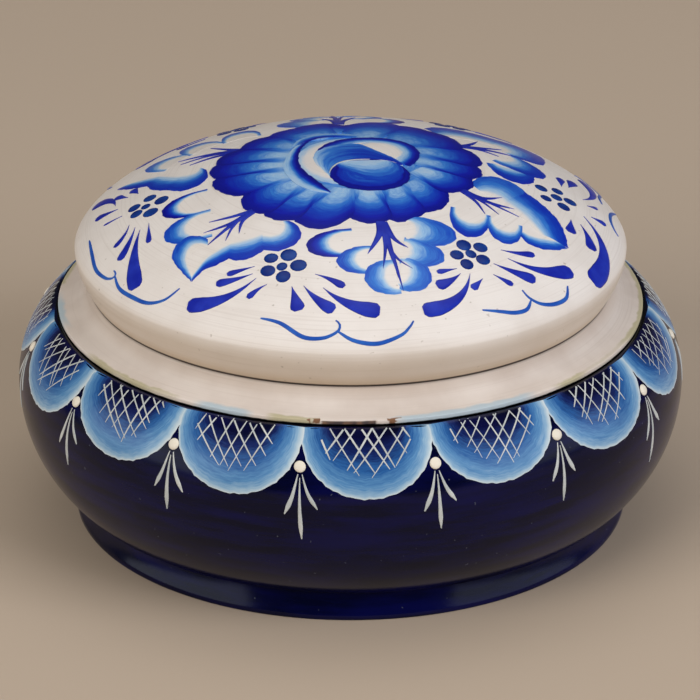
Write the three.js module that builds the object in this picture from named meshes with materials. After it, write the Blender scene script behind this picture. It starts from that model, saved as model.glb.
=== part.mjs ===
import * as THREE from 'three';

// A squat round trinket box turned from linden wood: a bowl with a foot, a collar ring glued on
// its shoulder, and a domed lid that lifts off. Millimetres, +Z up, and the origin is the centre
// of the foot's underside.

// Bowl, outside
const bellyDiameter = 120;      // the widest part of the box
const bellyHeight = 25;         // from the table to the widest part
const shoulderReach = 22.5;     // height above it in which the curve would close on the axis
const undersideReach = 28;      // depth below it in which the curve would close on the axis
const shoulderRise = 13.6;      // from the widest part up to the collar's seat
const footDiameter = 100.4;
const footHeight = 6;           // from the table to the crease under the belly
const footEdge = 0.9;           // upright edge at the bottom of the foot
const creaseDepth = 2.8;        // how far the crease cuts in behind the belly
const creaseWidth = 0.9;
const standWidth = 9;           // the flat ring that the box stands on
const standRecess = 1.2;        // depth of the hollow inside that ring

// Bowl, inside
const wallThickness = 10;       // at the widest part
const floorThickness = 7.5;
const floorCorner = 15;         // how far the wall sweeps in before the floor is flat
const lipDepth = 7;             // straight part of the mouth, down from the neck's top

// Collar ring
const ledgeWidth = 1;           // shoulder left showing outside the collar
const collarWidth = 8.4;        // from its outer edge in to the bowl's neck
const collarHeight = 4.6;
const collarEdge = 0.9;         // thickness of its outer edge
const collarFlare = 5.8;        // how far its outer edge stands out past its top
const collarSag = 0.7;          // how far the face between them hollows inwards

// Neck and lid
const neckThickness = 3;        // wood between the collar ring and the mouth
const neckStepDown = 0.3;       // keeps the neck's top below the collar's top
const lidOverhang = 2.6;        // how far the lid's rim stands out past its seat
const rimRise = 6.9;            // from the lid's seat up to the rim
const domeRise = 16.2;          // from the rim up to the top
const lidThickness = 7;         // at the top of the dome
const spigotDepth = 5;          // the lid's plug that sits in the mouth
const spigotThickness = 4;
const recessWall = 4.5;         // straight wall inside the lid, above its seat

// Fits
const glueLine = 0.1;           // between the collar ring and the bowl
const lidClearance = 0.35;      // around the lid's spigot
const seatGap = 0.05;           // under the lid
const brokenEdge = 0.3;         // chamfer that takes off sharp corners

const facetsAround = 64;

// Radius of the bowl's outside at a height above the table: a round belly with fuller flanks
// than a circle has.
function bellyRadius(height) {
  const reach = height > bellyHeight ? shoulderReach : undersideReach;
  const climb = (height - bellyHeight) / reach;
  return (bellyDiameter / 2) * (1 - climb ** 2) ** 0.25;
}

// Heights and radii that more than one piece uses
const shoulderHeight = bellyHeight + shoulderRise;
const collarRadius = bellyRadius(shoulderHeight) - ledgeWidth;
const neckRadius = collarRadius - collarWidth;
const mouthRadius = neckRadius - neckThickness;
const collarTop = shoulderHeight + glueLine + collarHeight;
const neckTop = collarTop - neckStepDown;
const seamRadius = collarRadius - collarFlare;
const lidSeat = collarTop + seatGap;
const rimRadius = seamRadius + lidOverhang;
const rimHeight = lidSeat + rimRise;

const point = (radius, height) => new THREE.Vector2(radius, height);

// Points along a curve given as a function of a fraction from 0 to 1.
function sweep(steps, place) {
  return Array.from({ length: steps + 1 }, (unused, step) => place(step / steps));
}

// Turns an outline of radius and height into a solid. An outline runs up the outside and down
// the inside.
function turned(name, colour, roughness, outline) {
  const geometry = new THREE.LatheGeometry(outline, facetsAround);
  geometry.rotateX(Math.PI / 2);
  const material = new THREE.MeshStandardMaterial({ color: colour, roughness, metalness: 0 });
  const mesh = new THREE.Mesh(geometry, material);
  mesh.name = name;
  return mesh;
}

function makeBowl() {
  const footRadius = footDiameter / 2;
  const standInner = footRadius - brokenEdge - standWidth;
  const creaseRadius = bellyRadius(footHeight) - creaseDepth;
  const outside = [
    point(0, standRecess),
    point(standInner - standRecess, standRecess),
    point(standInner, 0),
    point(footRadius - brokenEdge, 0),
    point(footRadius, brokenEdge),
    point(footRadius, footEdge),
    point(creaseRadius, footHeight - creaseWidth),
    ...sweep(16, (along) => {
      const height = THREE.MathUtils.lerp(footHeight, shoulderHeight, along);
      return point(bellyRadius(height), height);
    }),
    point(neckRadius, shoulderHeight),
    point(neckRadius, neckTop - brokenEdge),
    point(neckRadius - brokenEdge, neckTop),
  ];

  const hollowRadius = bellyDiameter / 2 - wallThickness;
  const lipBottom = neckTop - lipDepth;
  const floorRadius = hollowRadius - floorCorner;
  const inside = [
    point(mouthRadius + brokenEdge, neckTop),
    point(mouthRadius, neckTop - brokenEdge),
    ...sweep(6, (along) => {
      const turn = along * Math.PI / 2;
      return point(
        mouthRadius + (hollowRadius - mouthRadius) * Math.sin(turn),
        bellyHeight + (lipBottom - bellyHeight) * Math.cos(turn),
      );
    }),
    ...sweep(8, (along) => {
      const turn = along * Math.PI / 2;
      return point(
        floorRadius + floorCorner * Math.cos(turn),
        bellyHeight - (bellyHeight - floorThickness) * Math.sin(turn),
      );
    }).slice(1),
    point(0, floorThickness),
  ];
  return turned('bowl', '#14164c', 0.16, [...outside, ...inside]);
}

function makeCollarRing() {
  const bottom = shoulderHeight + glueLine;
  const bore = neckRadius + glueLine;
  const edgeTop = bottom + collarEdge;
  const outline = [
    point(bore, bottom),
    point(collarRadius - brokenEdge, bottom),
    point(collarRadius, bottom + brokenEdge),
    ...sweep(6, (along) => {
      const sag = collarSag * Math.sin(along * Math.PI);
      return point(
        THREE.MathUtils.lerp(collarRadius, seamRadius, along) - sag,
        THREE.MathUtils.lerp(edgeTop, collarTop - brokenEdge, along) - sag,
      );
    }),
    point(seamRadius - brokenEdge, collarTop),
    point(bore, collarTop),
    point(bore, bottom),
  ];
  return turned('collar_ring', '#d9d0c6', 0.38, outline);
}

function makeLid() {
  const spigotRadius = mouthRadius - lidClearance;
  const spigotBottom = lidSeat - spigotDepth;
  const recessRadius = spigotRadius - spigotThickness;
  const domeRoundness = 0.69;   // 0.5 would be an ellipse; more is flatter towards the rim
  const outside = [
    point(recessRadius, spigotBottom),
    point(spigotRadius - brokenEdge, spigotBottom),
    point(spigotRadius, spigotBottom + brokenEdge),
    point(spigotRadius, lidSeat),
    point(seamRadius - brokenEdge, lidSeat),
    point(seamRadius, lidSeat + brokenEdge),
    ...sweep(4, (along) => point(
      seamRadius + lidOverhang * Math.sin(along * Math.PI / 2),
      THREE.MathUtils.lerp(lidSeat + brokenEdge, rimHeight, along),
    )).slice(1),
    ...sweep(14, (along) => {
      const out = Math.cos(along * Math.PI / 2);
      return point(rimRadius * out, rimHeight + domeRise * (1 - out ** 2) ** domeRoundness);
    }).slice(1, -1),
    point(0, rimHeight + domeRise),
  ];

  const recessEdge = lidSeat + recessWall;
  const recessRise = rimHeight + domeRise - lidThickness - recessEdge;
  const inside = [
    point(0, recessEdge + recessRise),
    ...sweep(7, (along) => {
      const turn = along * Math.PI / 2;
      return point(recessRadius * Math.sin(turn), recessEdge + recessRise * Math.cos(turn));
    }).slice(1),
    point(recessRadius, spigotBottom),
  ];
  return turned('lid', '#ded6cc', 0.34, [...outside, ...inside]);
}

const box = new THREE.Group();
box.add(makeBowl(), makeCollarRing(), makeLid());

export default box;
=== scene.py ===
import math
import random
from functools import partial

import bmesh
import bpy
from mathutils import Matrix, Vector


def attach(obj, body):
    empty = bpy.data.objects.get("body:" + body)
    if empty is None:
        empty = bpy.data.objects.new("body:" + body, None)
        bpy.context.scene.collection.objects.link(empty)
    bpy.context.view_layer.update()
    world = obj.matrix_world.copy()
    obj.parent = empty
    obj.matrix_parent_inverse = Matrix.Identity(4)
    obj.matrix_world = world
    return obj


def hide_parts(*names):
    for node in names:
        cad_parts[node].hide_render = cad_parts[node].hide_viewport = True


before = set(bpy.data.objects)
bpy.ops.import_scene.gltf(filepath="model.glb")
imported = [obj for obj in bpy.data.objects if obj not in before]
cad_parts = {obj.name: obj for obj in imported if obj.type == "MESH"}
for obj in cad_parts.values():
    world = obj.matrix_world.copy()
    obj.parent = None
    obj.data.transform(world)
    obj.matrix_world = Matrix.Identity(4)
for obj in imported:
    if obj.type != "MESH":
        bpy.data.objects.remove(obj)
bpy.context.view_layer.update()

mm = 0.001  # sizes below are in millimetres


def colour(code):
    # sRGB hex to a linear colour
    parts = [int(code[i:i + 2], 16) / 255 for i in (1, 3, 5)]
    linear = [c / 12.92 if c <= 0.04045 else ((c + 0.055) / 1.055) ** 2.4 for c in parts]
    return (*linear, 1.0)


def addNode(tree, kind, inputs=(), out=0, **settings):
    # one node with its settings, its inputs set or linked in order or by name; gives an output,
    # or all of them when out is None
    node = tree.nodes.new(kind)
    for name, value in settings.items():
        setattr(node, name, value)
    for socket, value in inputs.items() if isinstance(inputs, dict) else enumerate(inputs):
        if isinstance(value, bpy.types.NodeSocket):
            tree.links.new(value, node.inputs[socket])
        else:
            isHex = isinstance(value, str) and value.startswith("#")
            node.inputs[socket].default_value = colour(value) if isHex else value
    return node.outputs if out is None else node.outputs[out]


def addObject(name, data):
    made = bpy.data.objects.new(name, data)
    bpy.context.scene.collection.objects.link(made)
    return made


def mix(a, b, share):
    return a + (b - a) * share


def mixPoint(a, b, share):
    return tuple(mix(p, q, share) for p, q in zip(a, b))


def ease(value):
    value = min(1.0, max(0.0, value))
    return value * value * (3 - 2 * value)


def quarterTurns(count, first=0):
    # angles from 0 to a quarter turn
    return [k / count * math.pi / 2 for k in range(first, count + 1)]


def lengthOf(points):
    return sum(math.dist(a[:2], b[:2]) for a, b in zip(points, points[1:]))


def smoothPath(points, steps):
    # a Catmull-Rom path through the points, with even steps along its length
    ends = [points[0]] + list(points) + [points[-1]]
    dense = []
    for i in range(1, len(ends) - 2):
        p0, p1, p2, p3 = ends[i - 1:i + 3]
        for k in range(12):
            t = k / 12
            dense.append(tuple(
                0.5 * (2 * b + (c - a) * t + (2 * a - 5 * b + 4 * c - d) * t * t
                       + (3 * b - a - 3 * c + d) * t ** 3)
                for a, b, c, d in zip(p0, p1, p2, p3)))
    dense.append(tuple(points[-1]))
    lengths = [0.0]
    for a, b in zip(dense, dense[1:]):
        lengths.append(lengths[-1] + math.dist(a[:2], b[:2]))
    path, at = [], 0
    for k in range(steps + 1):
        goal = lengths[-1] * k / steps
        while at < len(dense) - 2 and lengths[at + 1] < goal:
            at += 1
        span = lengths[at + 1] - lengths[at] or 1.0
        path.append(mixPoint(dense[at], dense[at + 1], min(1.0, (goal - lengths[at]) / span)))
    return path


# the turned pieces, as radii and heights
bowlSizes = {
    "bellyDiameter": 120, "bellyHeight": 25, "shoulderReach": 22.5, "undersideReach": 28,
    "shoulderHeight": 38.6, "footDiameter": 100.4, "footHeight": 6, "footEdge": 0.9, "footHollow": 0.12,
    "creaseDepth": 2.8, "creaseWidth": 0.9, "standWidth": 9, "standRecess": 1.2,
    "hollowRadius": 50, "floorThickness": 7.5, "floorCorner": 15, "lipDepth": 7,
    "mouthRadius": 41.16, "neckRadius": 44.16, "neckTop": 43.0, "seatRadius": 48,
    "softEdge": 0.35,  # how far lacquer and sanding round the corners
}
collarSizes = {
    "bore": 44.26, "bottom": 38.7, "top": 43.3, "outerRadius": 52.56, "innerRadius": 46.76,
    "edge": 0.9, "sag": 0.7, "softEdge": 0.35,
}
lidSizes = {
    "rimRadius": 49.36, "rimHeight": 50.25, "domeRise": 16.2, "domeRoundness": 0.69,
    "seamRadius": 46.76, "seat": 43.35, "spigotRadius": 40.81, "spigotBottom": 38.35,
    "recessRadius": 36.81, "recessEdge": 47.85, "recessCrown": 59.45, "softEdge": 0.35,
}


def easeCorners(points):
    # points are radius, height and corner radius; a corner without one stays sharp
    eased = []
    for i, (r, z, soft) in enumerate(points):
        if not soft or i in (0, len(points) - 1):
            eased.append((r, z))
            continue
        before, after = points[i - 1][:2], points[i + 1][:2]
        back, ahead = math.dist((r, z), before), math.dist((r, z), after)
        cut = min(soft, back * 0.45, ahead * 0.45)
        start, end = mixPoint((r, z), before, cut / back), mixPoint((r, z), after, cut / ahead)
        for k in range(5):
            t = k / 4
            eased.append(tuple((1 - t) ** 2 * a + 2 * t * (1 - t) * b + t * t * c
                               for a, b, c in zip(start, (r, z), end)))
    return eased


def bellyRadius(height):
    s = bowlSizes
    reach = s["shoulderReach"] if height > s["bellyHeight"] else s["undersideReach"]
    return s["bellyDiameter"] / 2 * (1 - ((height - s["bellyHeight"]) / reach) ** 2) ** 0.25


def bowlOutline():
    # from the floor inside, up and over the neck, down the belly, and in under the foot
    s = bowlSizes
    soft, shoulder, crease = s["softEdge"], s["shoulderHeight"], s["footHeight"] - s["creaseWidth"]
    inside = [(r, s["floorThickness"], 0) for r in (0, 8, 16, 24, 30)]
    for turn in quarterTurns(24):
        inside.append((s["hollowRadius"] + s["floorCorner"] * (math.sin(turn) - 1),
                       mix(s["bellyHeight"], s["floorThickness"], math.cos(turn)), 0))
    for turn in quarterTurns(16, 1):
        inside.append((mix(s["hollowRadius"], s["mouthRadius"], 1 - math.cos(turn)),
                       mix(s["bellyHeight"], s["neckTop"] - s["lipDepth"], math.sin(turn)), 0))
    neck = [(s["mouthRadius"], s["neckTop"], soft), (s["neckRadius"], s["neckTop"], soft),
            (s["neckRadius"], shoulder, 0), (s["seatRadius"], shoulder, 0)]
    belly = []
    for k in range(97):
        height = mix(shoulder, s["footHeight"], k / 96)
        belly.append((bellyRadius(height), height, soft if k in (0, 96) else 0))
    creaseRadius = bellyRadius(s["footHeight"]) - s["creaseDepth"]
    footRadius = s["footDiameter"] / 2
    standInner = footRadius - 0.3 - s["standWidth"]
    foot = [(creaseRadius, crease, 0.25)]
    for k in range(1, 10):
        hollow = s["footHollow"] * math.sin(k / 10 * math.pi)
        foot.append((mix(creaseRadius, footRadius, k / 10) - hollow, mix(crease, s["footEdge"], k / 10),
                     0))
    foot += [(footRadius, s["footEdge"], 0.3), (footRadius, 0, soft), (standInner, 0, soft),
             (standInner - s["standRecess"], s["standRecess"], soft)]
    foot += [(r, s["standRecess"], 0) for r in (30, 20, 10, 0)]
    return inside + neck + belly + foot


def collarOutline():
    s = collarSizes
    soft, edgeTop = s["softEdge"], s["bottom"] + s["edge"]
    ring = [(s["bore"], s["bottom"] + 2, 0), (s["bore"], s["top"], soft),
            (s["innerRadius"], s["top"], soft)]
    for k in range(1, 24):
        sag = s["sag"] * math.sin(k / 24 * math.pi)
        ring.append((mix(s["innerRadius"], s["outerRadius"], k / 24) - sag,
                     mix(s["top"] - 0.15, edgeTop, k / 24) - sag, 0))
    return ring + [(s["outerRadius"], edgeTop, 0.45), (s["outerRadius"], s["bottom"], soft),
                   (bowlSizes["seatRadius"], s["bottom"], 0), (s["bore"], s["bottom"], soft), ring[0]]


def lidOutline():
    # from the crown over the dome, under the rim, and up into the recess
    s = lidSizes
    soft = s["softEdge"]
    outline = [(s["rimRadius"] * math.sin(turn),
                s["rimHeight"] + s["domeRise"] * math.cos(turn) ** (2 * s["domeRoundness"]), 0)
               for turn in quarterTurns(80)]
    for k in range(1, 21):
        outline.append((mix(s["seamRadius"], s["rimRadius"], math.cos(k / 20 * math.pi / 2)),
                        mix(s["rimHeight"], s["seat"], k / 20), soft if k == 20 else 0))
    outline += [(s["spigotRadius"], s["seat"], 0.2), (s["spigotRadius"], s["spigotBottom"], soft),
                (s["recessRadius"], s["spigotBottom"], soft)]
    return outline + [(s["recessRadius"] * math.cos(turn),
                       mix(s["recessEdge"], s["recessCrown"], math.sin(turn)),
                       0) for turn in quarterTurns(32)]


def outlineObject(name, points):
    # a poly curve of radius and height, which the trees below read
    curve = bpy.data.curves.new(name, "CURVE")
    curve.dimensions = "3D"
    spline = curve.splines.new("POLY")
    spline.points.add(len(points) - 1)
    for point, (r, z) in zip(spline.points, points):
        point.co = (r * mm, 0, z * mm, 1)
    return addObject(name, curve)


def newTree(name, sockets):
    tree = bpy.data.node_groups.new(name, "GeometryNodeTree")
    tree.interface.new_socket("Geometry", in_out="INPUT", socket_type="NodeSocketGeometry")
    for label, kind in sockets.items():
        tree.interface.new_socket(label, in_out="INPUT", socket_type="NodeSocket" + kind)
    tree.interface.new_socket("Geometry", in_out="OUTPUT", socket_type="NodeSocketGeometry")
    given = tree.nodes.new("NodeGroupInput").outputs
    return tree, partial(addNode, tree), given, tree.nodes.new("NodeGroupOutput").inputs[0]


def turnedTree():
    # a grid of facets, each row of which sits at one point of the outline, closed into a solid
    tree, add, given, result = newTree("turned piece", {
        "Outline": "Object", "Facets": "Int", "Painted from": "Int", "Painted to": "Int",
        "Paint": "Material", "Wood": "Material"})
    outline = add("GeometryNodeObjectInfo", {"Object": given["Outline"]}, "Geometry")
    rows = add("GeometryNodeAttributeDomainSize", (outline,), "Point Count", component="CURVE")
    columns = add("ShaderNodeMath", (given["Facets"], 1.0), operation="ADD")
    grid = add("GeometryNodeMeshGrid", (1.0, 1.0, columns, rows))
    position = add("GeometryNodeInputPosition")
    x, y, z = add("ShaderNodeSeparateXYZ", (position,), None)
    lastRow = add("ShaderNodeMath", (rows, 1.0), operation="SUBTRACT")
    upright = add("ShaderNodeMath", (y, 0.5), operation="ADD")
    rowAt = add("ShaderNodeMath", (upright, lastRow), operation="MULTIPLY")
    row = add("ShaderNodeMath", (rowAt,), operation="ROUND")
    here = add("GeometryNodeSampleIndex", (outline, position, row),
               data_type="FLOAT_VECTOR", domain="POINT")
    turn = add("ShaderNodeMath", (x, 2 * math.pi), operation="MULTIPLY")
    spun = add("ShaderNodeVectorRotate", {"Vector": here, "Angle": turn}, rotation_type="Z_AXIS")
    afterStart = add("FunctionNodeCompare", (rowAt, given["Painted from"]), operation="GREATER_THAN")
    beforeEnd = add("FunctionNodeCompare", (rowAt, given["Painted to"]), operation="LESS_THAN")
    painted = add("FunctionNodeBooleanMath", (afterStart, beforeEnd), operation="AND")
    marked = add("GeometryNodeStoreNamedAttribute", {0: grid, "Name": "painted", "Value": painted},
                 data_type="BOOLEAN", domain="FACE")  # before the rows move
    placed = add("GeometryNodeSetPosition", {0: marked, "Position": spun})
    closed = add("GeometryNodeMergeByDistance", {0: placed, "Distance": 0.004 * mm})
    solid = add("GeometryNodeRealizeInstances", (closed,))
    wooden = add("GeometryNodeSetMaterial", {0: solid, "Material": given["Wood"]})
    isPainted = add("GeometryNodeInputNamedAttribute", ("painted",), data_type="BOOLEAN")
    finished = add("GeometryNodeSetMaterial",
                   {0: wooden, "Selection": isPainted, "Material": given["Paint"]})
    tree.links.new(finished, result)
    return tree


# inputs of every tree that lays paint on a turned piece
laidInputs = {"Outline": "Object", "Start": "Float", "Belt": "Bool", "Belt radius": "Float",
              "Paint": "Material"}


def wrapTree():
    # lays flat paint on a turned piece. On the disc, a point's distance from the middle is its
    # distance down the outline; on the belt, x is measured round the belly and y down it
    tree, add, given, result = newTree("lay on turning", laidInputs)
    outline = add("GeometryNodeObjectInfo", {"Object": given["Outline"]}, "Geometry")
    flatX, flatY, flatZ = add("ShaderNodeSeparateXYZ", (add("GeometryNodeInputPosition"),), None)
    inPlane = add("ShaderNodeCombineXYZ", (flatX, flatY))
    reach = add("ShaderNodeVectorMath", (inPlane,), "Value", operation="LENGTH")
    discWay = add("ShaderNodeVectorMath", (inPlane,), operation="NORMALIZE")
    azimuth = add("ShaderNodeMath", (flatX, given["Belt radius"]), operation="DIVIDE")
    sine = add("ShaderNodeMath", (azimuth,), operation="SINE")
    cosine = add("ShaderNodeMath", (azimuth,), operation="COSINE")
    front = add("ShaderNodeMath", (cosine, -1.0), operation="MULTIPLY")
    beltWay = add("ShaderNodeCombineXYZ", (sine, front))
    down = add("ShaderNodeMath", (given["Start"], flatY), operation="SUBTRACT")
    way = add("GeometryNodeSwitch", (given["Belt"], discWay, beltWay), input_type="VECTOR")
    length = add("GeometryNodeSwitch", (given["Belt"], reach, down), input_type="FLOAT")
    sample = add("GeometryNodeSampleCurve", {0: outline, "Length": length}, None, mode="LENGTH")
    at = add("ShaderNodeSeparateXYZ", (sample["Position"],), None)
    along = add("ShaderNodeSeparateXYZ", (sample["Tangent"],), None)
    rise = add("GeometryNodeInputNamedAttribute", ("rise",), data_type="FLOAT")
    outward = add("ShaderNodeMath", (along["Z"], rise), operation="MULTIPLY")
    radius = add("ShaderNodeMath", (at["X"], outward), operation="SUBTRACT")
    height = add("ShaderNodeMath", (along["X"], rise, at["Z"]), operation="MULTIPLY_ADD")
    level = add("ShaderNodeVectorMath", {0: way, "Scale": radius}, operation="SCALE")
    lift = add("ShaderNodeCombineXYZ", {2: height})
    place = add("ShaderNodeVectorMath", (level, lift), operation="ADD")
    laid = add("GeometryNodeSetPosition", {0: given["Geometry"], "Position": place})
    plain = add("GeometryNodeRealizeInstances", (laid,))
    painted = add("GeometryNodeSetMaterial", {0: plain, "Material": given["Paint"]})
    tree.links.new(painted, result)
    return tree


def layOn(tree, shape, given, result):
    # hands a flat shape and the shared inputs on to the wrapping tree
    inputs = {0: shape, **{label: given[label] for label in laidInputs}}
    tree.links.new(addNode(tree, "GeometryNodeGroup", inputs, node_tree=wrap), result)
    return tree


def lineTree():
    # brush lines: each spline's radius is half the width of the paint
    tree, add, given, result = newTree("brush lines", {**laidInputs, "Section": "Object"})
    section = add("GeometryNodeObjectInfo", {"Object": given["Section"]}, "Geometry")
    closed = add("GeometryNodeMeshToCurve", (section,))
    halfWidth = add("GeometryNodeInputRadius")
    level = add("GeometryNodeSetCurveNormal", (given["Geometry"],), mode="Z_UP")
    ribbon = add("GeometryNodeCurveToMesh", {"Curve": level, "Profile Curve": closed,
                                             "Scale": halfWidth, "Fill Caps": True})
    crown = add("GeometryNodeInputNamedAttribute", ("crown",), data_type="FLOAT")
    marked = add("GeometryNodeStoreNamedAttribute", {0: ribbon, "Name": "rise", "Value": crown},
                 data_type="FLOAT", domain="POINT")
    return layOn(tree, marked, given, result)


def stampTree():
    # one flat shape set down at each point, turned and sized by the point's attributes
    tree, add, given, result = newTree("stamps", {**laidInputs, "Stamp": "Object"})
    stamp = add("GeometryNodeObjectInfo", {"Object": given["Stamp"]}, "Geometry")
    turn = add("GeometryNodeInputNamedAttribute", ("turn",), data_type="FLOAT")
    size = add("GeometryNodeInputNamedAttribute", ("size",), data_type="FLOAT_VECTOR")
    spin = add("FunctionNodeEulerToRotation", (add("ShaderNodeCombineXYZ", {2: turn}),))
    dabs = add("GeometryNodeInstanceOnPoints", {"Points": given["Geometry"], "Instance": stamp,
                                                "Rotation": spin, "Scale": size})
    return layOn(tree, add("GeometryNodeRealizeInstances", (dabs,)), given, result)


turned, wrap = turnedTree(), wrapTree()
lines, stamps = lineTree(), stampTree()
scratch = []  # helper objects, removed at the end


def bake(name, source, tree, values, sharp=60):
    # runs the tree on the source and keeps the result as a plain mesh
    modifier = source.modifiers.new("tree", "NODES")
    modifier.node_group = tree
    sockets = {item.name: item.identifier for item in tree.interface.items_tree if item.in_out == "INPUT"}
    for label, value in values.items():
        modifier[sockets[label]] = value
    bpy.context.view_layer.update()
    evaluated = source.evaluated_get(bpy.context.evaluated_depsgraph_get())
    mesh = bpy.data.meshes.new_from_object(evaluated)
    source.modifiers.remove(modifier)
    mesh.name = name
    shell = bmesh.new()
    shell.from_mesh(mesh)
    bmesh.ops.recalc_face_normals(shell, faces=shell.faces)
    shell.to_mesh(mesh)
    shell.free()
    mesh.shade_smooth()
    mesh.set_sharp_from_angle(angle=math.radians(sharp))
    scratch.append(source)
    print("made", name, len(mesh.polygons), "faces")
    return addObject(name, mesh)


def newMaterial(name):
    material = bpy.data.materials.new(name)
    material.use_nodes = True
    tree = material.node_tree
    return material, tree, partial(addNode, tree)


def coats(tree, ground, *layers):
    # coat over coat: each shows from 0 where its value is low, to most where its value is high
    for value, low, high, most, paint in layers:
        share = addNode(tree, "ShaderNodeMapRange", (value, low, high, 0.0, most),
                        interpolation_type="SMOOTHSTEP")
        ground = addNode(tree, "ShaderNodeMix", {0: share, 6: ground, 7: paint}, 2, data_type="RGBA")
    return ground


def setStops(socket, stops):
    # places and colours along a colour ramp
    band = socket.node.color_ramp
    while len(band.elements) < len(stops):
        band.elements.new(0.5)
    for element, (place, code) in zip(band.elements, stops):
        element.position, element.color = place, colour(code)
    return socket


def finishShader(tree, base, roughness, relief, strength, depth, ior=1.5, gloss=0.5):
    # colour, sheen and relief into the shader; the relief's depth is in millimetres
    shader = tree.nodes["Principled BSDF"]
    bump = addNode(tree, "ShaderNodeBump", {"Height": relief, "Strength": strength,
                                            "Distance": depth * mm})
    tree.links.new(base, shader.inputs["Base Color"])
    tree.links.new(bump, shader.inputs["Normal"])
    if isinstance(roughness, float):
        shader.inputs["Roughness"].default_value = roughness
    else:
        tree.links.new(roughness, shader.inputs["Roughness"])
    shader.inputs["IOR"].default_value = ior
    shader.inputs["Specular IOR Level"].default_value = gloss


def fromAxis(tree, where):
    # distance from the turning axis, then x, y and height
    x, y, z = addNode(tree, "ShaderNodeSeparateXYZ", (where,), None)
    level = addNode(tree, "ShaderNodeCombineXYZ", (x, y))
    return addNode(tree, "ShaderNodeVectorMath", (level,), "Value", operation="LENGTH"), x, y, z


def turningRings(tree, spacing):
    # fine rings left by chisel and brush as the piece turned, broken up on the way round
    add = partial(addNode, tree)
    where = add("ShaderNodeTexCoord", out="Object")
    radius, x, y, z = fromAxis(tree, where)
    down = add("ShaderNodeMath", (z, -1.3, radius), operation="MULTIPLY_ADD")
    rings = add("ShaderNodeMath", (down, spacing * mm), operation="DIVIDE")
    brokenX = add("ShaderNodeMath", (x, 30.0), operation="MULTIPLY")
    brokenY = add("ShaderNodeMath", (y, 30.0), operation="MULTIPLY")
    broken = add("ShaderNodeCombineXYZ", (rings, brokenX, brokenY))
    ringed = add("ShaderNodeTexNoise", {"Vector": broken, "Scale": 1.0, "Detail": 2.0, "Roughness": 0.55})
    return where, radius, x, y, z, ringed


creamLook = {
    "ringSpacing": 0.45, "cloudSize": 11.1, "poreSize": 1.11,
    "light": "#e4ddd6", "cloudy": "#dcd4cc", "ring": "#cdc3ba", "pore": "#8d7c69",
    "thin": "#b9a283",  # darker, yellower band under the rim: partly thinner paint, partly painted shade under the rim's overhang and painted brown bounce light from the floor
    "grimeAndShade": "#2a1c16",  # painted shade and grime in the joint with the collar
}


def creamGround(tree):
    # the cream acrylic under the flowers: rings from the lathe, cloudy brushing, tiny pores, with painted
    # shade on the band under the rim and at the joint with the collar
    s = creamLook
    where, radius, x, y, z, rings = turningRings(tree, s["ringSpacing"])
    cloud = addNode(tree, "ShaderNodeTexNoise", {"Vector": where, "Scale": 1 / (s["cloudSize"] * mm),
                                                 "Detail": 4.0, "Roughness": 0.55})
    pores = addNode(tree, "ShaderNodeTexNoise", {"Vector": where, "Scale": 1 / (s["poreSize"] * mm),
                                                 "Detail": 1.0, "Roughness": 0.55})
    ground = coats(tree, s["light"], (cloud, 0.38, 0.72, 1.0, s["cloudy"]),
                   (rings, 0.48, 0.74, 0.42, s["ring"]),
                   # painted shade: the band under the rim and its lower part are darkened, partly as
                   # thinner paint
                   (z, 52.5 * mm, 47.5 * mm, 0.5, s["thin"]), (z, 46.2 * mm, 43.4 * mm, 0.6, s["thin"]),
                   # the last coat is a dark line at the joint: painted shade of the gap, with some grime
                   (pores, 0.74, 0.8, 0.45, s["pore"]), (z, 43.85 * mm, 43.52 * mm, 1.0, s["grimeAndShade"]))
    return ground, rings, cloud


def creamPaint():
    # cream acrylic on turned linden under satin lacquer: soft sheen, faint rings
    material, tree, add = newMaterial("cream acrylic, brushed and satin lacquered")
    ground, rings, cloud = creamGround(tree)
    rough = add("ShaderNodeMapRange", {"Value": cloud, "To Min": 0.3, "To Max": 0.46})
    finishShader(tree, ground, rough, rings, 0.25, 0.06, ior=1.49)
    return material


petalTones = [(0.0, "#05087a"), (0.12, "#0716a0"), (0.34, "#0f43b4"), (0.56, "#3478ca"),
              (0.8, "#92b9dc"), (1.0, "#d2d4d4")]
scallopTones = [(0.0, "#c8d2d4"), (0.06, "#a9bfcc"), (0.17, "#86a9c4"), (0.34, "#5486b3"),
                (0.55, "#275a96"), (0.78, "#12225a")]
brushLook = {
    "bristle": 0.3, "bristleRun": 0.35, "bristleShare": 0.34,  # streaks left by the hairs
    "swell": 0.9, "swellRun": 0.12, "swellShare": 0.26,  # slower changes along the stroke
}


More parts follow.
